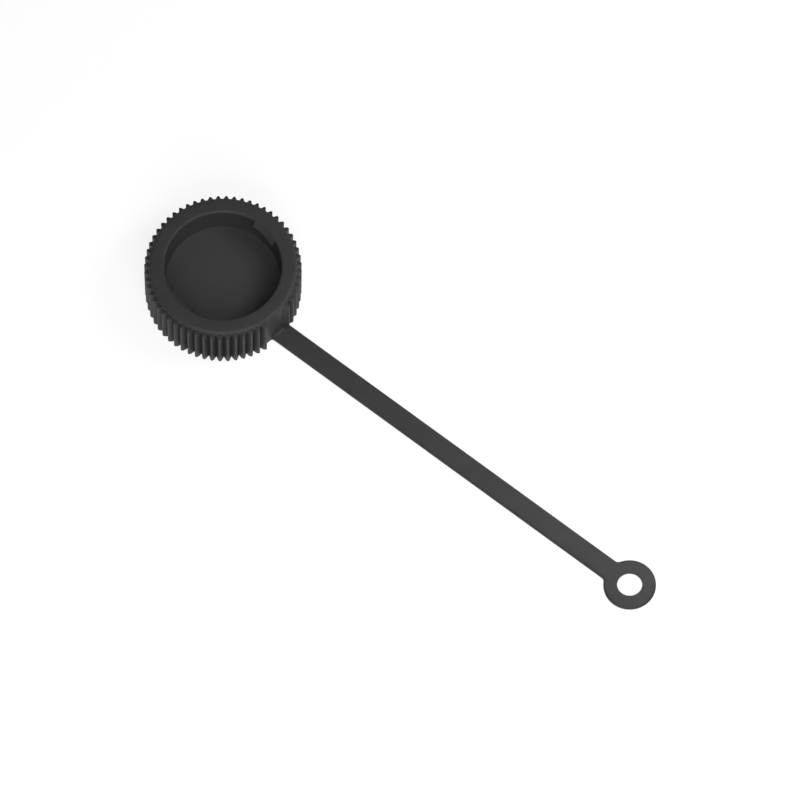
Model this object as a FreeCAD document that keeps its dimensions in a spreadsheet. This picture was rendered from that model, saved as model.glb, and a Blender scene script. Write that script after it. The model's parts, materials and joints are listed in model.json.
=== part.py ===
import FreeCAD, Part
import math
import os
import Sketcher
from FreeCAD import Placement, Rotation, Vector

# Port dust cap, moulded in one piece: a knurled cap with two bayonet lugs in its mouth,
# and a flat strap that leaves the closed end and carries an eyelet for a fixing screw.
# The cap stands on its closed end at Z = 0 with its mouth up, and the strap runs along +X.

NODE = "dust_cap"

# Driving dimensions, in millimetres and degrees, and counts.
SIZES = {
    # cap, from the mouth that goes over the port outwards
    "mouth_radius": 11.1,
    "mouth_depth": 6.5,
    "mouth_taper": 0.15,
    "cap_wall": 3.05,
    "rim_height": 11.9,
    "rim_round": 0.7,
    "lip_round": 0.5,
    "floor_wall": 2.6,
    "floor_chamfer": 0.25,
    # hollow under the floor, which keeps the walls even
    "hollow_taper": 0.15,
    # knurled grip
    "tooth_places": 60,
    "tooth_depth": 0.85,
    "tooth_drop": 1.0,
    "tooth_slope": 0.05,
    "tip_land": 0.25,
    "tip_draft": 0.1,
    "groove_draft": 0.25,
    "groove_ledge": 0.2,
    "groove_rise": 0.05,
    "foot_chamfer": 0.45,
    "plain_overlap": 0.75,
    # bayonet lugs, measured down from the rim
    "lug_count": 2,
    "lug_angle": 81.0,
    "lug_span": 30.0,
    "lug_reach": 0.95,
    "lug_drop": 0.15,
    "lug_ramp": 0.75,
    "lug_face": 0.9,
    "lug_under": 0.15,
    # strap and eyelet
    "strap_width": 4.2,
    "strap_side": 0.1,
    "strap_thickness": 0.85,
    "strap_reach": 98.4,
    "hole_diameter": 4.8,
    "eyelet_wall": 2.6,
    "edge_round": 0.4,
    "neck_round": 1.0,
    "root_round": 0.6,
    # how far a cut runs past the face it leaves, and a joined form into the wall behind it
    "overrun": 0.4,
}

document = FreeCAD.newDocument("port_dust_cap")
sheet = document.addObject("Spreadsheet::Sheet", "sizes")
for row, (name, number) in enumerate(SIZES.items(), start=1):
    sheet.set(f"A{row}", name)
    sheet.set(f"B{row}", str(number))
    sheet.setAlias(f"B{row}", name)
document.recompute()

body = document.addObject("PartDesign::Body", NODE)
body.Label = NODE

# Radii, heights and angles that several features share, written as expressions of the sheet.
COLLAR = "(sizes.mouth_radius + sizes.cap_wall)"
TIP = f"({COLLAR} + sizes.tooth_depth)"
TIP_FOOT = f"({TIP} - sizes.tip_draft)"
GROOVE_TOP = f"({COLLAR} - sizes.groove_ledge)"
GROOVE_FOOT = f"({GROOVE_TOP} - sizes.groove_draft)"
TOOTH_TOP = "(sizes.rim_height - sizes.tooth_drop)"
SHOULDER = f"({TOOTH_TOP} + sizes.tooth_slope)"
GROOVE_END = f"({SHOULDER} + sizes.groove_rise)"
FLOOR = "(sizes.rim_height - sizes.mouth_depth)"
MOUTH_FOOT = "(sizes.mouth_radius - sizes.mouth_taper)"
HOLLOW = f"({FLOOR} - sizes.floor_wall)"
HOLLOW_FOOT = f"({GROOVE_FOOT} - sizes.cap_wall)"
HOLLOW_TOP = f"({HOLLOW_FOOT} - sizes.hollow_taper)"
PITCH = "(360 / sizes.tooth_places)"
# Every tooth place that the strap and its clearance reach into stays plain. A place is on the
# strap's middle, so the plain stretch is half a pitch longer on one side than on the other.
PLACE_WIDTH = f"({COLLAR} * 2 * pi / sizes.tooth_places)"
PLAIN_PLACES = f"(ceil((sizes.strap_width + 2 * sizes.strap_side) / {PLACE_WIDTH}) + 1)"
PLAIN_MIDDLE = f"(-{PITCH} / 2)"
PLAIN_HALF = f"({PITCH} * {PLAIN_PLACES} / 2)"
EYELET = "(sizes.hole_diameter + 2 * sizes.eyelet_wall)"


def value(expression):
    """What an expression of the sheet comes to, in millimetres or degrees."""
    return float(body.evalExpression(expression))


def origin_part(role):
    """A plane or axis of the body's own origin, by its role."""
    return next(part for part in body.Origin.OriginFeatures if part.Role == role)


def sketch_on(name, role, turn=None, lift=None, mirrored=False):
    """A sketch on an origin plane, turned about the cap's axis and lifted along it, or flipped about X."""
    sketch = body.newObject("Sketcher::SketchObject", name)
    sketch.AttachmentSupport = [(origin_part(role), "")]
    sketch.MapMode = "FlatFace"
    axis = Vector(0, 0, 1) if role == "XY_Plane" else Vector(0, 1, 0)
    if mirrored:
        sketch.AttachmentOffset = Placement(Vector(), Rotation(Vector(1, 0, 0), 180))
        return sketch
    sketch.AttachmentOffset = Placement(Vector(), Rotation(axis, 1))
    sketch.setExpression("AttachmentOffset.Rotation.Angle", f"{turn or 0} * 1 deg")
    if lift:
        sketch.setExpression("AttachmentOffset.Base.z", lift)
    return sketch


def hold(sketch, kind, *places_and_value):
    """A dimension of the sketch, bound to an expression."""
    *places, expression = places_and_value
    index = sketch.addConstraint(Sketcher.Constraint(kind, *places, value(expression)))
    sketch.setExpression(f"Constraints[{index}]", expression)


def hold_point(sketch, geometry, end, across, up):
    """An end of a line or arc, held at (across, up) from the sketch's origin."""
    hold(sketch, "DistanceX", -1, 1, geometry, end, across)
    hold(sketch, "DistanceY", -1, 1, geometry, end, up)


def outline(sketch, corners):
    """A closed polygon whose corners are held at (across, up) from the sketch's origin."""
    count = len(corners)
    starts = [Vector(value(across), value(up), 0) for across, up in corners]
    for start, stop in zip(starts, starts[1:] + starts[:1]):
        sketch.addGeometry(Part.LineSegment(start, stop), False)
    for step, (across, up) in enumerate(corners):
        sketch.addConstraint(Sketcher.Constraint("Coincident", (step - 1) % count, 2, step, 1))
        hold_point(sketch, step, 1, across, up)


def cove(sketch, inside, wall, floor, radius):
    """The section of a fillet between a wall and a floor, filled back to a line inside the wall."""
    toe = f"{wall} + {radius}"
    top = f"{floor} + {radius}"
    low_corner = Vector(value(inside), value(floor), 0)
    toe_corner = Vector(value(toe), value(floor), 0)
    top_corner = Vector(value(wall), value(top), 0)
    back_corner = Vector(value(inside), value(top), 0)
    centre = Vector(value(toe), value(top), 0)
    circle = Part.Circle(centre, Vector(0, 0, 1), value(radius))
    floor_line = sketch.addGeometry(Part.LineSegment(low_corner, toe_corner), False)
    arc = sketch.addGeometry(Part.ArcOfCircle(circle, math.pi, 1.5 * math.pi), False)
    top_line = sketch.addGeometry(Part.LineSegment(top_corner, back_corner), False)
    back_line = sketch.addGeometry(Part.LineSegment(back_corner, low_corner), False)
    for ends in ((floor_line, 2, arc, 2), (arc, 1, top_line, 1),
                 (top_line, 2, back_line, 1), (back_line, 2, floor_line, 1)):
        sketch.addConstraint(Sketcher.Constraint("Coincident", *ends))
    hold_point(sketch, floor_line, 1, inside, floor)
    hold_point(sketch, floor_line, 2, toe, floor)
    hold_point(sketch, top_line, 1, wall, top)
    hold_point(sketch, back_line, 1, inside, top)
    hold(sketch, "DistanceX", -1, 1, arc, 3, toe)


def disc(sketch, across, diameter):
    """A circle centred on the sketch's horizontal axis."""
    draft = Part.Circle(Vector(value(across), 0, 0), Vector(0, 0, 1), value(diameter) / 2)
    circle = sketch.addGeometry(draft, False)
    sketch.addConstraint(Sketcher.Constraint("PointOnObject", circle, 3, -1))
    hold(sketch, "DistanceX", -1, 1, circle, 3, across)
    hold(sketch, "Diameter", circle, diameter)


def feature(kind, name, profile):
    """A feature made from a sketch."""
    made = body.newObject(f"PartDesign::{kind}", name)
    made.Profile = profile
    profile.Visibility = False
    return made


def turned(kind, name, profile, angle):
    """A sketch turned about the cap's axis, half the angle to each side."""
    made = feature(kind, name, profile)
    made.ReferenceAxis = (origin_part("Z_Axis"), [""])
    made.Midplane = True
    made.setExpression("Angle", angle)
    return made


def ring_pattern(name, original, count, step):
    """Copies of a feature about the cap's axis, a fixed angle apart."""
    pattern = body.newObject("PartDesign::PolarPattern", name)
    pattern.Originals = [original]
    pattern.Axis = (origin_part("Z_Axis"), [""])
    pattern.Mode = "Spacing"
    pattern.setExpression("Occurrences", count)
    pattern.setExpression("Offset", step)
    body.Tip = pattern
    document.recompute()
    return pattern


def edge_through(base, point):
    """The name of the base feature's edge that passes nearest to a point."""
    spot = Part.Vertex(point)
    gaps = [edge.distToShape(spot)[0] for edge in base.Shape.Edges]
    return f"Edge{gaps.index(min(gaps)) + 1}"


def rounded(name, base, edges, radius):
    """A fillet on named edges of the base feature."""
    fillet = body.newObject("PartDesign::Fillet", name)
    fillet.Base = (base, edges)
    fillet.setExpression("Radius", radius)
    document.recompute()
    return fillet


# Blank: the cap's section turned about its axis, with the knurl still a plain band.
# The mouth and the hollow under the floor both open a little wider towards their ends.
BLANK = {
    "foot_inside": (HOLLOW_FOOT, "0"),
    "foot_outside": (f"{TIP_FOOT} - sizes.foot_chamfer", "0"),
    "tip_foot": (TIP_FOOT, "sizes.foot_chamfer"),
    "tip_top": (TIP, TOOTH_TOP),
    "shoulder": (COLLAR, SHOULDER),
    "rim_edge": (COLLAR, "sizes.rim_height"),
    "lip": ("sizes.mouth_radius", "sizes.rim_height"),
    "floor_side": (MOUTH_FOOT, f"{FLOOR} + sizes.floor_chamfer"),
    "floor_edge": (f"{MOUTH_FOOT} - sizes.floor_chamfer", FLOOR),
    "floor_middle": ("0", FLOOR),
    "hollow_middle": ("0", HOLLOW),
    "hollow_edge": (HOLLOW_TOP, HOLLOW),
}
blank_sketch = sketch_on("blank_section", "XZ_Plane")
outline(blank_sketch, list(BLANK.values()))
blank = turned("Revolution", "blank", blank_sketch, "360")
document.recompute()

cap = blank
for corner in ("rim_edge", "lip"):
    across, up = BLANK[corner]
    ring = edge_through(cap, Vector(0, value(across), value(up)))
    cap = rounded(f"{corner}_fillet", cap, [ring], f"sizes.{corner.split('_')[0]}_round")


# Knurl: one V groove, lofted from its section under the closed end to its section at the foot of
# the round collar, because the mould's draft makes it deeper towards the closed end. It repeats
# around the cap on both sides of every tooth, and the plain stretch over the strap is turned away
# after it. The collar stands a little out over the grooves and hides their upper ends.
def groove_section(name, root, tip, lift):
    """A V with its point at the root radius and its flanks through the tips of the teeth beside it."""
    sketch = sketch_on(name, "XY_Plane", f"({PLAIN_MIDDLE} + {PLAIN_HALF})", lift)
    half = f"({tip} * sin({PITCH} / 2 * 1 deg) - sizes.tip_land / 2)"
    flare = f"({half} * (1 + sizes.overrun / ({tip} - {root})))"
    outline(sketch, [
        (root, "0"),
        (f"{tip} + sizes.overrun", f"-{flare}"),
        (f"{tip} + sizes.overrun", flare),
    ])
    return sketch


groove_foot = groove_section("groove_foot", GROOVE_FOOT, TIP_FOOT, "-sizes.overrun")
groove_top = groove_section("groove_top", GROOVE_TOP, TIP, GROOVE_END)
document.recompute()
groove = feature("SubtractiveLoft", "groove", groove_foot)
groove.Sections = [(groove_top, [""])]
groove.Ruled = True
document.recompute()
knurl = ring_pattern("knurl", groove, f"sizes.tooth_places - {PLAIN_PLACES} + 1", PITCH)

plain_sketch = sketch_on("plain_section", "XZ_Plane", PLAIN_MIDDLE)
outline(plain_sketch, [
    (GROOVE_FOOT, "-sizes.overrun"),
    (f"{TIP} + sizes.overrun", "-sizes.overrun"),
    (f"{TIP} + sizes.overrun", GROOVE_END),
    (GROOVE_TOP, GROOVE_END),
])
# The stretch ends a little past the points of the last two grooves, inside their flanks.
plain = turned("Groove", "plain_stretch", plain_sketch, f"2 * {PLAIN_HALF} + sizes.plain_overlap")
document.recompute()

# Bayonet lugs: a ramp that leads the port's pins in, a short face and an underside that holds them.
LUG_INSIDE = "sizes.mouth_radius - sizes.lug_reach"
LUG_OUTSIDE = "sizes.mouth_radius + sizes.overrun"
LUG_TOP = "sizes.rim_height - sizes.lug_drop"
LUG_EDGE = f"{LUG_TOP} - sizes.lug_ramp"
lug_sketch = sketch_on("lug_section", "XZ_Plane", "sizes.lug_angle")
outline(lug_sketch, [
    (LUG_OUTSIDE, LUG_TOP),
    ("sizes.mouth_radius", LUG_TOP),
    (LUG_INSIDE, LUG_EDGE),
    (LUG_INSIDE, f"{LUG_EDGE} - sizes.lug_face"),
    (LUG_OUTSIDE, f"{LUG_EDGE} - sizes.lug_face - sizes.lug_under"),
])
lug = turned("Revolution", "lug", lug_sketch, "sizes.lug_span")
document.recompute()
lugs = ring_pattern("lugs", lug, "sizes.lug_count", "360 / sizes.lug_count")


# Strap and eyelet: a flat strip flush with the closed end, and a ring at its far end.
def flat(kind, name, profile, upwards=True, height="sizes.strap_thickness"):
    """A pad or pocket that reaches from the closed end up to a height."""
    made = feature(kind, name, profile)
    made.Reversed = upwards == (kind == "Pocket")
    made.setExpression("Length", height)
    document.recompute()
    return made


STRAP_START = f"{HOLLOW_FOOT} + sizes.cap_wall / 2"
STRAP_SIDE = "(sizes.strap_width / 2)"
strap_sketch = sketch_on("strap_outline", "XY_Plane")
outline(strap_sketch, [
    (STRAP_START, f"-{STRAP_SIDE}"),
    ("sizes.strap_reach", f"-{STRAP_SIDE}"),
    ("sizes.strap_reach", STRAP_SIDE),
    (STRAP_START, STRAP_SIDE),
])
strap = flat("Pad", "strap", strap_sketch)

eyelet_sketch = sketch_on("eyelet_outline", "XY_Plane")
disc(eyelet_sketch, "sizes.strap_reach", EYELET)
eyelet = flat("Pad", "eyelet", eyelet_sketch)

hole_sketch = sketch_on("hole_outline", "XY_Plane")
disc(hole_sketch, "sizes.strap_reach", "sizes.hole_diameter")
hole = flat("Pocket", "hole", hole_sketch)

# The strap flares into the eyelet, and the top edges of both are rounded.
side = value(STRAP_SIDE)
top = value("sizes.strap_thickness")
eyelet_x = value("sizes.strap_reach")
eyelet_radius = value(f"{EYELET} / 2")
neck_x = eyelet_x - math.sqrt(eyelet_radius ** 2 - side ** 2)
neck_edges = [edge_through(hole, Vector(neck_x, y, top / 2)) for y in (-side, side)]
neck = rounded("neck_fillet", hole, neck_edges, "sizes.neck_round")

strap_x = (value(TIP) + neck_x) / 2
top_edges = [edge_through(neck, Vector(strap_x, y, top)) for y in (-side, side)]
top_edges.append(edge_through(neck, Vector(eyelet_x, eyelet_radius, top)))
edges = rounded("edge_fillet", neck, top_edges, "sizes.edge_round")

# Coves where the strap meets the plain wall of the cap: along its flat top, and on the side
# where the plain stretch leaves room.
cove_sketch = sketch_on("cove_section", "XZ_Plane")
cove(cove_sketch, STRAP_START, GROOVE_FOOT, "sizes.strap_thickness", "sizes.root_round")
top_cove = turned("Revolution", "top_cove", cove_sketch,
                  f"2 * asin(({STRAP_SIDE} - sizes.edge_round) / ({GROOVE_FOOT} + sizes.root_round))")
document.recompute()

CORNER_SIDE = f"({STRAP_SIDE} + sizes.root_round)"
CORNER_WALL = f"sqrt({GROOVE_FOOT} * {GROOVE_FOOT} - {CORNER_SIDE} * {CORNER_SIDE})"
corner_sketch = sketch_on("corner_section", "XY_Plane", mirrored=True)
cove(corner_sketch, STRAP_START, CORNER_WALL, STRAP_SIDE, "sizes.root_round")
corner_cove = flat("Pad", "corner_cove", corner_sketch, False, "sizes.strap_thickness - sizes.edge_round")
body.Tip = corner_cove
document.recompute()

# Nothing is written unless every feature built, every cut took material away
# and the cap is one sound solid.
for item in document.Objects:
    if {"Invalid", "Error"} & set(item.State):
        raise RuntimeError(f"{item.Name} did not build: {item.State}")
for cut in (groove, knurl, plain, hole):
    if cut.Shape.Volume >= cut.BaseFeature.Shape.Volume:
        raise RuntimeError(f"{cut.Name} cuts nothing away")
if body.Shape.isNull() or not body.Shape.isValid() or len(body.Shape.Solids) != 1:
    raise RuntimeError(f"{NODE} is not one valid solid")

os.makedirs("parts", exist_ok=True)
body.Shape.exportStep(f"parts/{NODE}.step")
print(f"{NODE}: {len(body.Shape.Faces)} faces, {body.Shape.Volume:.1f} cubic millimetres")
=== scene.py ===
# %% [markdown]
# # A port dust cap
#
# The real thing is one small moulding in black plastic: a knurled cap that turns onto a round
# network port, and a flat strap with an eyelet, so that the cap isn't lost while the port is in use.
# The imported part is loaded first. It gives the true size and place of everything, so the mesh that
# is made here lies exactly where the part lies, in metres, with +Z up and +X along the strap.

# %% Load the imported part
import json
import math
import bmesh
import bpy
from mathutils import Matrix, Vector


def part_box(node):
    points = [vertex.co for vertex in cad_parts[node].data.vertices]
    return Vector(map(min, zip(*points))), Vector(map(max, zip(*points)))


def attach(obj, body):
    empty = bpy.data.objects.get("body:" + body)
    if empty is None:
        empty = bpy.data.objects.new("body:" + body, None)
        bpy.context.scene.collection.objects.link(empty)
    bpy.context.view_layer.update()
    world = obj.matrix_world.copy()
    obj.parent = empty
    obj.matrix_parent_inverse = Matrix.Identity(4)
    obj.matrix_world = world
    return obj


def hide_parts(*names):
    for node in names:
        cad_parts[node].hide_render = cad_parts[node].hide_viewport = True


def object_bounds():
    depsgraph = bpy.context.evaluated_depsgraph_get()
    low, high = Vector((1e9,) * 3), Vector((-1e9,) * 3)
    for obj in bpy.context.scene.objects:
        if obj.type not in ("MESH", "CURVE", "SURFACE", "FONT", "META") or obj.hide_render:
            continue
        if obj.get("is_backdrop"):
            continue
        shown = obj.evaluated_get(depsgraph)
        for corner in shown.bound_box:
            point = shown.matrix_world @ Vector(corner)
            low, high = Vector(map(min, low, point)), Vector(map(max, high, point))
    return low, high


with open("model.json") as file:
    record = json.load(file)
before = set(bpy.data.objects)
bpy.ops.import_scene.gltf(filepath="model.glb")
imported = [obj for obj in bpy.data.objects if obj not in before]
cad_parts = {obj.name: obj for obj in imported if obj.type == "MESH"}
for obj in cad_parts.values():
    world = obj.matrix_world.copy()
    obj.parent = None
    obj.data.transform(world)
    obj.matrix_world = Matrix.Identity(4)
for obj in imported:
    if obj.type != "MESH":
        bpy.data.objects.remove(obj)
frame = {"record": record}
cad_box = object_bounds()
MM = 0.001
part_low, part_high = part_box("dust_cap")
mounts = {mount["name"]: mount for mount in frame["record"]["mounts"]}
print("part box in mm:", [round(v / MM, 2) for v in (*part_low, *part_high)])

# %% [markdown]
# ## Sizes
#
# The outer sizes are read from the part: the grip's radius, the rim's height, the eyelet and its hole.
# The rest are the moulding's own wall and groove sizes. A few driving values are enough, because
# every other radius and height follows from them.

# %% Sizes
TIP_RADIUS = part_high.y
RIM_HEIGHT = part_high.z
EYELET_X = mounts["eyelet_hole"]["pos_m"][0]
EYELET_RADIUS = part_high.x - EYELET_X
HOLE_RADIUS = mounts["eyelet_hole"]["dims"]["r_mm"] * MM
STRAP_THICKNESS = mounts["eyelet_hole"]["dims"]["length_mm"] * MM

TOOTH_DEPTH = 0.85 * MM
COLLAR_RADIUS = TIP_RADIUS - TOOTH_DEPTH
CAP_WALL = 3.05 * MM
MOUTH_RADIUS = COLLAR_RADIUS - CAP_WALL
MOUTH_TAPER = 0.15 * MM
MOUTH_DEPTH = 6.5 * MM
FLOOR_WALL = 2.6 * MM
FLOOR_HEIGHT = RIM_HEIGHT - MOUTH_DEPTH
HOLLOW_HEIGHT = FLOOR_HEIGHT - FLOOR_WALL
HOLLOW_RADIUS = 10.65 * MM
HOLLOW_TAPER = 0.15 * MM
print("mouth radius and floor height in mm:", round(MOUTH_RADIUS / MM, 2), round(FLOOR_HEIGHT / MM, 2))

# %% [markdown]
# ## The cap's section
#
# A cap like this is a turned form, so it starts as half of its cross-section: a chain of corners from
# the middle of the floor, up the mouth, over the rim, down the grip and back under to the middle.
# Moulded corners are never sharp. Each corner has a radius, and a short curve between its two sides
# takes its place.

# %% Helpers for chains of corners
ROUND_STEPS = 6


def rounded_chain(corners):
    """Points along a chain of (radius, height, rounding) corners, with a curve at each rounded corner."""
    places = [Vector((radius, height)) for radius, height, rounding in corners]
    points = [places[0]]
    for before, corner, after, (_, _, rounding) in zip(places, places[1:], places[2:], corners[1:]):
        start = corner + (before - corner).normalized() * rounding
        stop = corner + (after - corner).normalized() * rounding
        steps = ROUND_STEPS if rounding else 0
        for step in range(steps + 1):
            t = step / steps if steps else 0.0
            points.append(start * (1 - t) ** 2 + corner * 2 * t * (1 - t) + stop * t ** 2)
    points.append(places[-1])
    return points


def divided(points, longest):
    """The same chain with its long runs cut into steps no longer than given."""
    chain = [points[0]]
    for start, stop in zip(points, points[1:]):
        cuts = max(1, math.ceil((stop - start).length / longest))
        chain += [start.lerp(stop, (cut + 1) / cuts) for cut in range(cuts)]
    return chain


# %% [markdown]
# A bayonet lug has a chain of its own, from its underside up to the rim's inner rounding. Each point of
# the mouth's wall carries how far it lies behind that chain, so the lugs can grow out of the same
# surface and need no cutting or joining.

# %% Section of a lug
LIP_ROUND = 0.5 * MM
LUG_INSIDE = MOUTH_RADIUS - 0.95 * MM
LUG_TOP = RIM_HEIGHT - 0.15 * MM
LUG_EDGE = LUG_TOP - 0.75 * MM
LUG_FOOT = LUG_EDGE - 0.9 * MM
LUG_UNDER = LUG_FOOT - 0.1 * MM
LUG_FOOT_ROUND = 0.12 * MM
LUG_EDGE_ROUND = 0.2 * MM


def mouth_wall(height):
    """Radius of the mouth's wall, which opens a little towards the rim."""
    rise = (height - FLOOR_HEIGHT) / (RIM_HEIGHT - FLOOR_HEIGHT)
    return MOUTH_RADIUS - MOUTH_TAPER * (1 - rise)


def lug_reach(radius, height):
    """How far a lug carries a point of the section inwards, which is nothing outside the mouth."""
    if radius > MOUTH_RADIUS + LIP_ROUND:
        return 0.0
    for low, high in zip(lug_chain, lug_chain[1:]):
        if low.y <= height < high.y:
            surface = low.lerp(high, (height - low.y) / (high.y - low.y))
            return max(0.0, radius - surface.x)
    return 0.0


# The lip's curve is quadratic, so its radius at the height of the lug's top follows from a square root.
lip_meets_lug = MOUTH_RADIUS + LIP_ROUND * (1 - math.sqrt((RIM_HEIGHT - LUG_TOP) / LIP_ROUND)) ** 2
lug_chain = rounded_chain([
    (mouth_wall(LUG_UNDER), LUG_UNDER, 0.0),
    (LUG_INSIDE, LUG_FOOT, LUG_FOOT_ROUND),
    (LUG_INSIDE, LUG_EDGE, LUG_EDGE_ROUND),
    (lip_meets_lug, LUG_TOP, 0.0),
])
print("points along a lug:", len(lug_chain))

# %% [markdown]
# The cap's own corners follow. The mouth's wall gets a point at every height where a lug bends, and two
# points close together mark where the grooves end under the collar.

# %% Section of the cap
RIM_ROUND = 0.7 * MM
TOOTH_TOP = RIM_HEIGHT - 1.0 * MM
SHOULDER = TOOTH_TOP + 0.05 * MM
GROOVE_END = SHOULDER + 0.05 * MM
LEDGE = 0.01 * MM
TIP_DRAFT = 0.097 * MM
FOOT_CHAMFER = 0.45 * MM
FLOOR_ROUND = 0.12 * MM
SHOULDER_ROUND = 0.03 * MM
TOOTH_ROUND = 0.14 * MM
CHAMFER_ROUND = 0.15 * MM
END_ROUND = 0.12 * MM
HOLLOW_LIP_ROUND = 0.2 * MM
HOLLOW_ROUND = 0.4 * MM
RUN_STEP = 1.6 * MM


def add_object(name, data):
    """A new object, linked to the scene."""
    made = bpy.data.objects.new(name, data)
    bpy.context.scene.collection.objects.link(made)
    return made


section_corners = [
    (0.0, FLOOR_HEIGHT, 0.0),
    (mouth_wall(FLOOR_HEIGHT), FLOOR_HEIGHT, FLOOR_ROUND),
    *[(mouth_wall(height), height, 0.0) for radius, height in lug_chain if height < RIM_HEIGHT - LIP_ROUND],
    (MOUTH_RADIUS, RIM_HEIGHT, LIP_ROUND),
    (COLLAR_RADIUS, RIM_HEIGHT, RIM_ROUND),
    (COLLAR_RADIUS, GROOVE_END + LEDGE, 0.0),
    (COLLAR_RADIUS, GROOVE_END - LEDGE, 0.0),
    (COLLAR_RADIUS, SHOULDER, SHOULDER_ROUND),
    (TIP_RADIUS, TOOTH_TOP, TOOTH_ROUND),
    (TIP_RADIUS - TIP_DRAFT, FOOT_CHAMFER, CHAMFER_ROUND),
    (TIP_RADIUS - TIP_DRAFT - FOOT_CHAMFER, 0.0, END_ROUND),
    (HOLLOW_RADIUS, 0.0, HOLLOW_LIP_ROUND),
    (HOLLOW_RADIUS - HOLLOW_TAPER, HOLLOW_HEIGHT, HOLLOW_ROUND),
    (0.0, HOLLOW_HEIGHT, 0.0),
]
section_points = divided(rounded_chain(section_corners), RUN_STEP)
section_mesh = bpy.data.meshes.new("cap_section")
section_mesh.from_pydata(
    [(radius, 0.0, height) for radius, height in section_points],
    [(step, step + 1) for step in range(len(section_points) - 1)],
    [],
)
lug_layer = section_mesh.attributes.new("lug_reach", "FLOAT", "POINT")
lug_layer.data.foreach_set("value", [lug_reach(radius, height) for radius, height in section_points])
cap = add_object("cap_section", section_mesh)
print("section points:", len(section_points))

# %% [markdown]
# ## Small helpers for node trees
#
# Node trees are written here as formulas. `wire` makes a node and fills its inputs with numbers or
# with the outputs of other nodes. `maths` does the same for one Math node and hands back its result.
# `add_sockets` gives a node group its inputs or outputs.

# %% Helpers for node trees
def wire(tree, kind, inputs=None, **settings):
    """A new node with its settings and inputs filled in."""
    node = tree.nodes.new(kind)
    for name, setting in settings.items():
        setattr(node, name, setting)
    for name, source in (inputs or {}).items():
        socket = node.inputs[name]
        if isinstance(source, bpy.types.NodeSocket):
            tree.links.new(source, socket)
        else:
            socket.default_value = source
    return node


def maths(tree, operation, *sources):
    """The result of one Math node."""
    node = wire(tree, "ShaderNodeMath", dict(enumerate(sources)), operation=operation)
    return node.outputs[0]


def add_sockets(tree, in_out, sockets):
    """The named inputs or outputs of a node group."""
    for name, kind in sockets.items():
        tree.interface.new_socket(name, in_out=in_out, socket_type=kind)


# %% [markdown]
# ## Turning the section, with the knurl and the lugs
#
# The grip has a straight knurl: V grooves at an even pitch, a little deeper towards the closed end,
# because the mould draws off that way. Separate teeth could be instanced on a ring and joined, but
# then every tooth would leave a seam. Here the rule itself is the tree. First the section is swept
# around a circle, and each point keeps its angle and its place in the section.

# %% Inputs and sweep of the turned cap
TURNED_CAP_INPUTS = {
    "Geometry": "NodeSocketGeometry",
    "Tooth places": "NodeSocketInt",
    "Steps per tooth": "NodeSocketInt",
    "Tip land": "NodeSocketFloat",
    "Plain from": "NodeSocketFloat",
    "Plain to": "NodeSocketFloat",
    "Root at foot": "NodeSocketFloat",
    "Root at end": "NodeSocketFloat",
    "Tip at foot": "NodeSocketFloat",
    "Tip at end": "NodeSocketFloat",
    "Groove end": "NodeSocketFloat",
    "Edge softness": "NodeSocketFloat",
    "Lug count": "NodeSocketInt",
    "Lug angle": "NodeSocketFloat",
    "Lug half span": "NodeSocketFloat",
    "Lug end": "NodeSocketFloat",
    "Material": "NodeSocketMaterial",
}


def swept_section(tree, given):
    """The section swept around a circle, with each point's angle, radius, height and lug reach."""
    steps = maths(tree, "MULTIPLY", given["Tooth places"], given["Steps per tooth"])
    circle = wire(tree, "GeometryNodeCurvePrimitiveCircle", {"Resolution": steps})
    index = wire(tree, "GeometryNodeInputIndex").outputs[0]
    turn = maths(tree, "MULTIPLY", maths(tree, "DIVIDE", index, steps), math.tau)
    turned = wire(tree, "GeometryNodeStoreNamedAttribute",
                  {"Geometry": circle.outputs["Curve"], "Name": "turn", "Value": turn})
    place = wire(tree, "GeometryNodeInputPosition").outputs[0]
    marked = wire(tree, "GeometryNodeStoreNamedAttribute",
                  {"Geometry": given["Geometry"], "Name": "section", "Value": place},
                  data_type="FLOAT_VECTOR")
    profile = wire(tree, "GeometryNodeMeshToCurve", {"Mesh": marked.outputs[0]})
    sweep = wire(tree, "GeometryNodeCurveToMesh",
                 {"Curve": turned.outputs[0], "Profile Curve": profile.outputs[0]})
    angle = wire(tree, "GeometryNodeInputNamedAttribute", {"Name": "turn"}, data_type="FLOAT")
    lug = wire(tree, "GeometryNodeInputNamedAttribute", {"Name": "lug_reach"}, data_type="FLOAT")
    spot = wire(tree, "GeometryNodeInputNamedAttribute", {"Name": "section"}, data_type="FLOAT_VECTOR")
    parts = wire(tree, "ShaderNodeSeparateXYZ", {0: spot.outputs[0]})
    return sweep.outputs[0], angle.outputs[0], parts.outputs["X"], parts.outputs["Z"], lug.outputs[0]


# %% [markdown]
# Then each point's radius is limited to the groove's radius at its angle and height. Most of the
# stretch over the strap stays plain: there the wave of the knurl is held at its lowest, and one tooth
# stands on the strap's far edge. Above the grooves' end nothing is limited, so the round collar stands
# out over them. A lug is a second wave, on the points of the mouth that carry a lug's reach.

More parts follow.
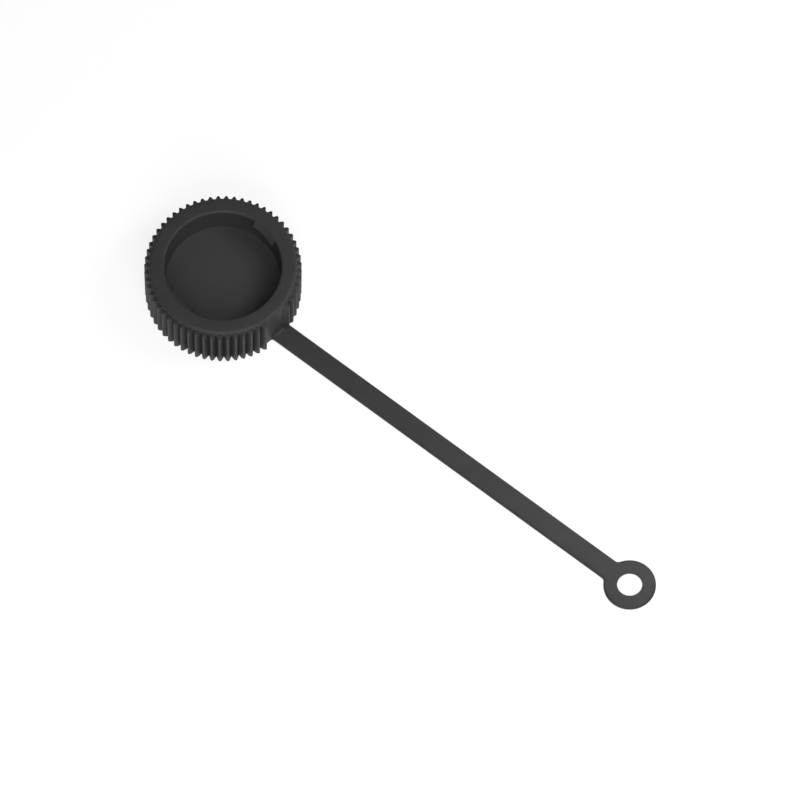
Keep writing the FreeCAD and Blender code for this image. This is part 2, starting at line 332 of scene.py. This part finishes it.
# %% Waves of the knurl and the lugs
def knurl_radius(tree, given, turn, height):
    """The radius of the grooved grip at an angle and a height, far out above the grooves' end."""
    place = maths(tree, "DIVIDE", maths(tree, "MULTIPLY", turn, given["Tooth places"]), math.tau)
    off = maths(tree, "ABSOLUTE", maths(tree, "SUBTRACT", place, maths(tree, "ROUND", place)))
    half_land = maths(tree, "MULTIPLY", given["Tip land"], 0.5)
    flank = maths(tree, "DIVIDE", maths(tree, "SUBTRACT", 0.5, off),
                  maths(tree, "SUBTRACT", 0.5, half_land))
    tooth = maths(tree, "MINIMUM", flank, 1.0)
    signed = maths(tree, "WRAP", turn, math.pi, -math.pi)
    after = maths(tree, "GREATER_THAN", signed, given["Plain from"])
    before = maths(tree, "LESS_THAN", signed, given["Plain to"])
    plain = maths(tree, "MULTIPLY", after, before)
    wave = maths(tree, "MULTIPLY", tooth, maths(tree, "SUBTRACT", 1.0, plain))
    rise = maths(tree, "DIVIDE", height, given["Groove end"])

    def drafted(low, high):
        span = maths(tree, "SUBTRACT", given[high], given[low])
        return maths(tree, "MULTIPLY_ADD", span, rise, given[low])

    root = drafted("Root at foot", "Root at end")
    tip = drafted("Tip at foot", "Tip at end")
    knurl = maths(tree, "MULTIPLY_ADD", maths(tree, "SUBTRACT", tip, root), wave, root)
    return maths(tree, "ADD", knurl, maths(tree, "GREATER_THAN", height, given["Groove end"]))


def lug_share(tree, given, turn):
    """One in the middle of a lug, nothing between the lugs, with a short slope at each end."""
    half_gap = maths(tree, "DIVIDE", math.pi, given["Lug count"])
    off = maths(tree, "WRAP", maths(tree, "SUBTRACT", turn, given["Lug angle"]),
                half_gap, maths(tree, "MULTIPLY", half_gap, -1.0))
    inside = maths(tree, "SUBTRACT", given["Lug half span"], maths(tree, "ABSOLUTE", off))
    slope = wire(tree, "ShaderNodeMapRange",
                 {"Value": inside, "From Min": 0.0, "From Max": given["Lug end"]},
                 interpolation_type="SMOOTHSTEP")
    return slope.outputs["Result"]


# %% [markdown]
# The tree puts this together. It moves each swept point to its radius and angle, merges the points
# that meet on the axis, and ends with real geometry and a material.

# %% Node tree of the turned cap
MERGE_DISTANCE = 0.002 * MM


def turned_cap_tree():
    """The node tree that turns a section into the whole cap."""
    tree = bpy.data.node_groups.new("turned_cap", "GeometryNodeTree")
    add_sockets(tree, "INPUT", TURNED_CAP_INPUTS)
    add_sockets(tree, "OUTPUT", {"Geometry": "NodeSocketGeometry"})
    given = tree.nodes.new("NodeGroupInput").outputs
    sweep, turn, radius, height, lug = swept_section(tree, given)
    knurl = knurl_radius(tree, given, turn, height)
    grooved = maths(tree, "SMOOTH_MIN", radius, knurl, given["Edge softness"])
    carried = maths(tree, "MULTIPLY", lug, lug_share(tree, given, turn))
    final = maths(tree, "SUBTRACT", grooved, carried)
    place = wire(tree, "ShaderNodeCombineXYZ", {
        "X": maths(tree, "MULTIPLY", final, maths(tree, "COSINE", turn)),
        "Y": maths(tree, "MULTIPLY", final, maths(tree, "SINE", turn)),
        "Z": height,
    })
    moved = wire(tree, "GeometryNodeSetPosition", {"Geometry": sweep, "Position": place.outputs[0]})
    merged = wire(tree, "GeometryNodeMergeByDistance",
                  {"Geometry": moved.outputs[0], "Distance": MERGE_DISTANCE})
    real = wire(tree, "GeometryNodeRealizeInstances", {"Geometry": merged.outputs[0]})
    dressed = wire(tree, "GeometryNodeSetMaterial",
                   {"Geometry": real.outputs[0], "Material": given["Material"]})
    wire(tree, "NodeGroupOutput", {"Geometry": dressed.outputs[0]})
    return tree


cap_tree = turned_cap_tree()
print("nodes in the turned cap:", len(cap_tree.nodes))

# %% [markdown]
# The tree's inputs are set through their identifiers. When the values are in, the evaluated result
# is copied into a plain mesh, and the modifier goes: what follows needs only the mesh.

# %% Make the cap
TOOTH_PLACES = 60
PITCH = math.tau / TOOTH_PLACES
TIP_LAND = 0.25 * MM
ROOT_AT_FOOT = 13.71 * MM
ROOT_AT_END = COLLAR_RADIUS - 0.2 * MM
CAP_VALUES = {
    "Tooth places": TOOTH_PLACES,
    "Steps per tooth": 14,
    "Tip land": TIP_LAND / (TIP_RADIUS * PITCH),
    "Plain from": -2.5 * PITCH,
    "Plain to": 0.5 * PITCH,
    "Root at foot": ROOT_AT_FOOT,
    "Root at end": ROOT_AT_END,
    "Tip at foot": TIP_RADIUS - TIP_DRAFT,
    "Tip at end": TIP_RADIUS,
    "Groove end": GROOVE_END,
    "Edge softness": 0.08 * MM,
    "Lug count": 2,
    "Lug angle": math.radians(81),
    "Lug half span": math.radians(15),
    "Lug end": math.radians(1.2),
}


def plain_mesh(piece, name):
    """The piece's evaluated shape as a mesh of its own, with its modifiers removed from the piece."""
    graph = bpy.context.evaluated_depsgraph_get()
    mesh = bpy.data.meshes.new_from_object(piece.evaluated_get(graph))
    mesh.name = name
    piece.modifiers.clear()
    piece.data = mesh
    piece.name = name
    return mesh


def face_outwards(mesh):
    """Turns every face of a closed mesh outwards."""
    work = bmesh.new()
    work.from_mesh(mesh)
    bmesh.ops.recalc_face_normals(work, faces=work.faces)
    work.to_mesh(mesh)
    loose = [edge for edge in work.edges if not edge.is_manifold]
    volume = work.calc_volume(signed=True)
    work.free()
    print(f"{mesh.name}: {len(mesh.polygons)} faces, {len(loose)} open edges, {volume / MM ** 3:.1f} mm3")


modifier = cap.modifiers.new("turned_cap", "NODES")
modifier.node_group = cap_tree
for socket in cap_tree.interface.items_tree:
    if socket.name in CAP_VALUES:
        modifier[socket.identifier] = CAP_VALUES[socket.name]
cap_mesh = plain_mesh(cap, "turned_cap")
face_outwards(cap_mesh)

# %% [markdown]
# ## Strap and eyelet
#
# The strap is a flat strip that widens into the eyelet through two small hollow curves. Its top edges
# are rounded and its underside is nearly sharp, as on the real strip. A bevelled curve would round
# both sides alike. So the outline is a function of its own inset: straight runs and arcs that share
# their centres, which stay parallel at any inset.

# %% Outlines of the strap and the eyelet
STRAP_HALF = 2.1 * MM
STRAP_START = 12.2 * MM
NECK_RADIUS = 1.0 * MM
EDGE_ROUND = 0.4 * MM
EDGE_BREAK = 0.08 * MM
STRAP_RUNS = 24
NECK_STEPS = 8
EYELET_STEPS = 72
NECK_Y = STRAP_HALF + NECK_RADIUS
NECK_X = EYELET_X - math.sqrt((EYELET_RADIUS + NECK_RADIUS) ** 2 - NECK_Y ** 2)
NECK_TURN = math.atan2(NECK_Y, EYELET_X - NECK_X)


def arc(x, y, radius, start, stop, steps):
    """Points on an arc, both ends included."""
    turns = [start + (stop - start) * step / steps for step in range(steps + 1)]
    return [(x + radius * math.cos(turn), y + radius * math.sin(turn)) for turn in turns]


def strap_outline(inset):
    """The outline of the strap and eyelet, moved inwards by an inset."""
    side = STRAP_HALF - inset
    runs = [STRAP_START + (NECK_X - STRAP_START) * run / STRAP_RUNS for run in range(STRAP_RUNS)]
    neck = NECK_RADIUS + inset
    points = [(x, -side) for x in runs]
    points += arc(NECK_X, -NECK_Y, neck, math.pi / 2, NECK_TURN, NECK_STEPS)
    round_turn = math.pi - NECK_TURN
    points += arc(EYELET_X, 0.0, EYELET_RADIUS - inset, -round_turn, round_turn, EYELET_STEPS)[1:]
    points += arc(NECK_X, NECK_Y, neck, -NECK_TURN, -math.pi / 2, NECK_STEPS)[1:]
    points += [(x, side) for x in reversed(runs)]
    return points


def hole_outline(inset):
    """The outline of the eyelet's hole, made larger by an inset."""
    return arc(EYELET_X, 0.0, HOLE_RADIUS + inset, 0.0, math.tau, EYELET_STEPS)[:-1]


print("points in the outline and the hole:", len(strap_outline(0.0)), len(hole_outline(0.0)))

# %% [markdown]
# The edge of the strap is a stack of such outlines, from the underside up and over the rounding. The
# wall of the hole is another, and flat covers close the strap between the two.

# %% Make the strap
def add_rings(work, rings):
    """Closed rings of places, each joined to the next by faces. Hands back the first and last ring."""
    made = [[work.verts.new(place) for place in ring] for ring in rings]
    for low, high in zip(made, made[1:]):
        for step in range(len(low)):
            work.faces.new((low[step - 1], low[step], high[step], high[step - 1]))
    return made[0], made[-1]


def add_wall(work, outline, levels):
    """The wall that an outline makes through (inset, height) levels."""
    return add_rings(work, [[(x, y, height) for x, y in outline(inset)] for inset, height in levels])


def fill_between(work, *rings):
    """A flat cover between an outline and the hole in it."""
    edges = [work.edges.get((ring[step - 1], ring[step])) for ring in rings for step in range(len(ring))]
    bmesh.ops.triangle_fill(work, edges=edges, use_beauty=True)


def closed_mesh(work, name):
    """The finished work as a mesh, with its faces turned outwards."""
    mesh = bpy.data.meshes.new(name)
    work.to_mesh(mesh)
    work.free()
    face_outwards(mesh)
    return mesh


def strap_mesh():
    """The strap with its eyelet as a closed mesh."""
    rounding = [math.pi / 2 * step / ROUND_STEPS for step in range(ROUND_STEPS + 1)]
    side_levels = [(EDGE_BREAK, 0.0), (0.0, EDGE_BREAK)]
    side_levels += [(EDGE_ROUND * (1 - math.cos(turn)), STRAP_THICKNESS - EDGE_ROUND * (1 - math.sin(turn)))
                    for turn in rounding]
    hole_levels = [(EDGE_BREAK, 0.0), (0.0, EDGE_BREAK),
                   (0.0, STRAP_THICKNESS - EDGE_BREAK), (EDGE_BREAK, STRAP_THICKNESS)]
    work = bmesh.new()
    side_foot, side_top = add_wall(work, strap_outline, side_levels)
    hole_foot, hole_top = add_wall(work, hole_outline, hole_levels)
    fill_between(work, side_foot, hole_foot)
    fill_between(work, side_top, hole_top)
    return closed_mesh(work, "strap")


strap = add_object("strap", strap_mesh())

# %% [markdown]
# ## Where the strap meets the cap
#
# A moulder avoids a sharp inside corner at the root of a strap that is often bent. The strap's flat
# top runs up the plain wall in a cove, and one side has a cove too, where the plain stretch leaves
# room for it. Each cove is a section with a hollow side, carried along a row of places.

# %% Coves at the strap's root
ROOT_ROUND = 0.6 * MM
COVE_SINK = 0.2 * MM
COVE_STEPS = 8
COVE_FADE = 0.7
CORNER_COVE_LEVELS = (
    (0.0, 0.85),
    (EDGE_BREAK, 1.0),
    (STRAP_THICKNESS - EDGE_ROUND, 1.0),
    (STRAP_THICKNESS - EDGE_ROUND / 2, 0.8),
)


def cove_profile(radius):
    """Points (out from the wall, up from the strap) of a cove, closed behind the wall and below."""
    hollow = [math.pi * (1 + step / (2 * COVE_STEPS)) for step in range(COVE_STEPS + 1)]
    curve = [(radius * (1 + math.cos(turn)), radius * (1 + math.sin(turn))) for turn in hollow]
    return curve + [(radius, -COVE_SINK), (-CAP_WALL / 2, -COVE_SINK), (-CAP_WALL / 2, radius)]


def cove_mesh(name, sections):
    """A closed mesh through a row of sections with equal numbers of points."""
    work = bmesh.new()
    first, last = add_rings(work, sections)
    work.faces.new(first)
    work.faces.new(last)
    return closed_mesh(work, name)


def top_cove_sections():
    """Sections of the cove over the strap, fading out towards the strap's rounded edges."""
    half_turn = math.asin((STRAP_HALF - EDGE_ROUND) / (ROOT_AT_FOOT + ROOT_ROUND))
    for step in range(-COVE_STEPS, COVE_STEPS + 1):
        share = step / COVE_STEPS
        turn = half_turn * share
        radius = ROOT_ROUND * (1 - COVE_FADE * share ** 4)
        places = [(ROOT_AT_FOOT + out, STRAP_THICKNESS + up) for out, up in cove_profile(radius)]
        yield [(far * math.cos(turn), far * math.sin(turn), height) for far, height in places]


def corner_cove_sections():
    """Sections of the cove beside the strap, from the closed end up to the strap's rounded edge."""
    wall_x = math.sqrt(ROOT_AT_FOOT ** 2 - (STRAP_HALF + ROOT_ROUND) ** 2)
    for height, share in CORNER_COVE_LEVELS:
        yield [(wall_x + out, -STRAP_HALF - up, height) for out, up in cove_profile(ROOT_ROUND * share)]


coves = []
for name, sections in (("top_cove", top_cove_sections()), ("corner_cove", corner_cove_sections())):
    coves.append(add_object(name, cove_mesh(name, sections)))

# %% [markdown]
# ## One moulding
#
# Cap, strap and coves come out of one mould as one body, so the meshes are united: what lies inside
# another goes, and one closed skin is left. The helper shapes are then deleted. Edges that turn by
# more than a set angle stay crisp, and all others are shaded smooth.

# %% Unite the moulding
SHARP_TURN = math.radians(38)

for piece in (strap, *coves):
    union = cap.modifiers.new(piece.name, "BOOLEAN")
    union.operation = "UNION"
    union.solver = "EXACT"
    union.object = piece
moulding = cap
moulding_mesh = plain_mesh(moulding, "dust_cap_moulding")
for piece in (strap, *coves):
    bpy.data.objects.remove(piece)
face_outwards(moulding_mesh)
moulding_mesh.polygons.foreach_set("use_smooth", [True] * len(moulding_mesh.polygons))
moulding_mesh.set_sharp_from_angle(angle=SHARP_TURN)
triangles = sum(len(face.vertices) - 2 for face in moulding_mesh.polygons)
print("triangles in the moulding:", triangles)

# %% [markdown]
# ## Black plastic
#
# The plastic is a black thermoplastic with a satin skin. The mould's steel leaves a very fine grain,
# finer on the polished outside and coarser on the mouth's floor, which looks spark-eroded. The floor's
# finish also gets a lighter colour: partly for its coarser skin, and partly as painted light that lifts
# the shade the mouth's walls cast on the floor. One grain group serves both finishes, each with its own
# scale and depth. It puts out a height for the bump and a slightly uneven roughness. The second group
# is the faint, uneven greyness that handling and dust leave on black plastic.

# %% Node groups for the plastic
BROAD_SHARE = 0.06


def grain_group():
    """Fine mould grain: a height for the bump, and a roughness that varies more slowly."""
    tree = bpy.data.node_groups.new("mould_grain", "ShaderNodeTree")
    add_sockets(tree, "INPUT", {"Vector": "NodeSocketVector", "Scale": "NodeSocketFloat",
                                "Roughness": "NodeSocketFloat", "Spread": "NodeSocketFloat"})
    add_sockets(tree, "OUTPUT", {"Height": "NodeSocketFloat", "Roughness": "NodeSocketFloat"})
    given = tree.nodes.new("NodeGroupInput").outputs
    fine = wire(tree, "ShaderNodeTexNoise",
                {"Vector": given["Vector"], "Scale": given["Scale"], "Detail": 3.0, "Roughness": 0.6})
    broad_scale = maths(tree, "MULTIPLY", given["Scale"], BROAD_SHARE)
    broad = wire(tree, "ShaderNodeTexNoise",
                 {"Vector": given["Vector"], "Scale": broad_scale, "Detail": 2.0})
    swing = maths(tree, "SUBTRACT", broad.outputs[0], 0.5)
    rough = maths(tree, "MULTIPLY_ADD", swing, given["Spread"], given["Roughness"])
    wire(tree, "NodeGroupOutput", {"Height": fine.outputs[0], "Roughness": rough})
    return tree


def haze_group():
    """The uneven greyness of handled black plastic, as a colour between clean and hazed."""
    tree = bpy.data.node_groups.new("handling_haze", "ShaderNodeTree")
    add_sockets(tree, "INPUT", {"Vector": "NodeSocketVector", "Clean": "NodeSocketColor",
                                "Hazed": "NodeSocketColor", "Scale": "NodeSocketFloat"})
    add_sockets(tree, "OUTPUT", {"Color": "NodeSocketColor"})
    given = tree.nodes.new("NodeGroupInput").outputs
    cloud = wire(tree, "ShaderNodeTexNoise",
                 {"Vector": given["Vector"], "Scale": given["Scale"], "Detail": 4.0, "Roughness": 0.55})
    patch = wire(tree, "ShaderNodeMapRange",
                 {"Value": cloud.outputs[0], "From Min": 0.35, "From Max": 0.7},
                 interpolation_type="SMOOTHSTEP")
    # A Mix node has sockets for every kind of data: its inputs 6 and 7 and its output 2 are for colours.
    mix = wire(tree, "ShaderNodeMix",
               {0: patch.outputs["Result"], 6: given["Clean"], 7: given["Hazed"]}, data_type="RGBA")
    wire(tree, "NodeGroupOutput", {"Color": mix.outputs[2]})
    return tree


mould_grain = grain_group()
handling_haze = haze_group()
print("node groups:", mould_grain.name, handling_haze.name)

# %% [markdown]
# Both finishes are the same plastic, so one function makes them. Uniform values, such as the index
# of refraction, are set on the shader itself. The index is lower than a real plastic's, which is near
# 1.5. It was set so that the mirrored room stays as faint as in the photograph.

# %% The two finishes
PLASTIC_IOR = 1.27
ROUGHNESS_SPREAD = 0.12
HAZE_SCALE = 160.0


def black_plastic(name, clean, hazed, roughness, grain_scale, grain_depth):
    """Black moulded plastic with its own grain."""
    material = bpy.data.materials.new(name)
    material.use_nodes = True
    tree = material.node_tree
    shader = tree.nodes["Principled BSDF"]
    shader.inputs["IOR"].default_value = PLASTIC_IOR
    place = wire(tree, "ShaderNodeTexCoord").outputs["Object"]
    grain = wire(tree, "ShaderNodeGroup",
                 {"Vector": place, "Scale": grain_scale, "Roughness": roughness, "Spread": ROUGHNESS_SPREAD},
                 node_tree=mould_grain)
    haze = wire(tree, "ShaderNodeGroup",
                {"Vector": place, "Clean": (*clean, 1.0), "Hazed": (*hazed, 1.0), "Scale": HAZE_SCALE},
                node_tree=handling_haze)
    bump = wire(tree, "ShaderNodeBump",
                {"Height": grain.outputs["Height"], "Strength": 1.0, "Distance": grain_depth})
    tree.links.new(haze.outputs["Color"], shader.inputs["Base Color"])
    tree.links.new(grain.outputs["Roughness"], shader.inputs["Roughness"])
    tree.links.new(bump.outputs["Normal"], shader.inputs["Normal"])
    return material


satin = black_plastic("satin_black", clean=(0.0225, 0.0226, 0.0226), hazed=(0.0245, 0.0248, 0.0248),
                      roughness=0.52, grain_scale=6000.0, grain_depth=0.004 * MM)
# The floor's finish is lighter than the satin: partly for its coarser skin, and partly as painted light that
# lifts the shade inside the mouth.
sparked_and_painted_light = black_plastic("sparked_black", clean=(0.0278, 0.0291, 0.0284), hazed=(0.0298, 0.0311, 0.0304),
                        roughness=0.55, grain_scale=4500.0, grain_depth=0.006 * MM)
print("finishes:", satin.name, sparked_and_painted_light.name)

# %% [markdown]
# The coarser finish goes on the faces that lie level with the mouth's floor, up to a small margin from
# its wall, and with it the lighter colour that is partly painted light. All other faces get the satin
# finish.

# %% Put the finishes on
FLOOR_TOLERANCE = 0.02 * MM
FLOOR_MARGIN = 0.2 * MM
floor_reach = mouth_wall(FLOOR_HEIGHT) - FLOOR_MARGIN
floor_faces = 0
moulding_mesh.materials.clear()
moulding_mesh.materials.append(satin)
moulding_mesh.materials.append(sparked_and_painted_light)
for face in moulding_mesh.polygons:
    level = abs(face.center.z - FLOOR_HEIGHT) < FLOOR_TOLERANCE
    on_floor = level and face.center.xy.length < floor_reach
    face.material_index = int(on_floor)
    floor_faces += on_floor
print("faces with the sparked finish:", floor_faces)

# %% [markdown]
# ## Floor
#
# The cap lies on plain white paper. The floor is only a stage, so it is marked as such. Stronger lamps
# would whiten it, but they would also grey the cap. So what the camera and mirrors see of the paper is
# lifted towards white, and a faint shadow stays.

# %% Floor
PAPER_SIZE = 4.0
PAPER_WHITE = 0.94
PAPER_ROUGHNESS = 0.8
PAPER_IOR = 1.2
WHITE_LIFT = 0.8


def white_paper():
    """White paper whose view, straight or mirrored, is lifted most of the way to plain white."""
    material = bpy.data.materials.new("white_paper")
    material.use_nodes = True
    tree = material.node_tree
    paper = tree.nodes["Principled BSDF"]
    paper.inputs["Base Color"].default_value = (PAPER_WHITE, PAPER_WHITE, PAPER_WHITE, 1.0)
    paper.inputs["Roughness"].default_value = PAPER_ROUGHNESS
    paper.inputs["IOR"].default_value = PAPER_IOR
    rays = wire(tree, "ShaderNodeLightPath").outputs
    mirrored = maths(tree, "MAXIMUM", rays["Is Glossy Ray"], rays["Is Transmission Ray"])
    seen = maths(tree, "MAXIMUM", rays["Is Camera Ray"], mirrored)
    white = wire(tree, "ShaderNodeEmission", {"Strength": 1.0})
    lifted = wire(tree, "ShaderNodeMixShader", {0: maths(tree, "MULTIPLY", seen, WHITE_LIFT),
                                                1: paper.outputs[0], 2: white.outputs[0]})
    tree.links.new(lifted.outputs[0], tree.nodes["Material Output"].inputs["Surface"])
    return material


bpy.ops.mesh.primitive_plane_add(size=PAPER_SIZE)
floor = bpy.context.object
floor.name = "floor"
floor.data.materials.append(white_paper())
floor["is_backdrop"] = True
print("floor:", floor.name)

# %% [markdown]
# ## Light
#
# The light is soft and comes from the camera's side, one wide lamp high and one low, so that it reaches
# into the mouth and the grooves. Black plastic shows mostly what it mirrors, and its flat faces mirror
# the room, so the room is dim. A small lamp hangs near the eyelet, and the strap grows lighter along
# its length.

# %% Room and lamps
ROOM_LEVEL = 0.27


def lamp(name, place, aim, size, power):
    """A square area lamp that looks at a point."""
    light = bpy.data.lights.new(name, "AREA")
    light.size = size
    light.energy = power
    made = add_object(name, light)
    made.location = place
    made.rotation_euler = (Vector(aim) - Vector(place)).to_track_quat("-Z", "Y").to_euler()


room = bpy.data.worlds.new("room")
room.use_nodes = True
backdrop = room.node_tree.nodes["Background"]
backdrop.inputs["Color"].default_value = (1.0, 1.0, 1.0, 1.0)
backdrop.inputs["Strength"].default_value = ROOM_LEVEL
bpy.context.scene.world = room
middle = Vector((EYELET_X / 2, 0.0, 0.0))
lamp("high", place=(0.27, -0.33, 0.87), aim=middle, size=0.6, power=2.0)
lamp("low", place=(0.52, -0.58, 0.55), aim=middle, size=0.7, power=8.0)
lamp("overhead", place=(0.088, 0.065, 0.13), aim=(EYELET_X, 0.0, 0.0), size=0.08, power=0.19)
bpy.context.scene.view_settings.view_transform = "Standard"

# %% [markdown]
# ## Camera
#
# The photograph looks down steeply from the strap's side, through a long lens, so the cap's far and
# near teeth come out almost the same size. The camera is set from its two angles, and its aim from
# where the cap's axis meets the table in the picture.

# %% Camera
PICTURE = 800
LENS = 1200.0
SENSOR = 36.0
VIEW_TURN = math.radians(38.35)
VIEW_RISE = math.radians(66.4)
PIXELS_PER_MM = 5.251
AXIS_PIXEL = (222.8, 290.4)
CLIP_END = 100.0

to_camera = Vector((math.sin(VIEW_TURN) * math.cos(VIEW_RISE),
                    -math.cos(VIEW_TURN) * math.cos(VIEW_RISE),
                    math.sin(VIEW_RISE)))
right = Vector((math.cos(VIEW_TURN), math.sin(VIEW_TURN), 0.0))
up = to_camera.cross(right)
centre = (PICTURE - 1) / 2
aim = (right * (centre - AXIS_PIXEL[0]) - up * (centre - AXIS_PIXEL[1])) * MM / PIXELS_PER_MM
distance = LENS / SENSOR * PICTURE * MM / PIXELS_PER_MM
camera_data = bpy.data.cameras.new("camera")
camera_data.lens = LENS
camera_data.sensor_width = SENSOR
camera_data.clip_end = CLIP_END
camera = add_object("camera", camera_data)
camera.location = aim + to_camera * distance
camera.rotation_euler = to_camera.to_track_quat("Z", "Y").to_euler()
bpy.context.scene.camera = camera
print("camera distance in mm:", round(distance / MM))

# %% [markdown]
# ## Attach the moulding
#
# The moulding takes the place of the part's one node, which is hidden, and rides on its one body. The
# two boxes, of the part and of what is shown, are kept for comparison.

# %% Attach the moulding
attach(moulding, "root")
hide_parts("dust_cap")
visual_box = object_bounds()
boxes = {name: [list(corner) for corner in box] for name, box in (("cad", cad_box), ("visual", visual_box))}
for name, box in boxes.items():
    print(name, "box in mm:", [[round(v / MM, 3) for v in corner] for corner in box])
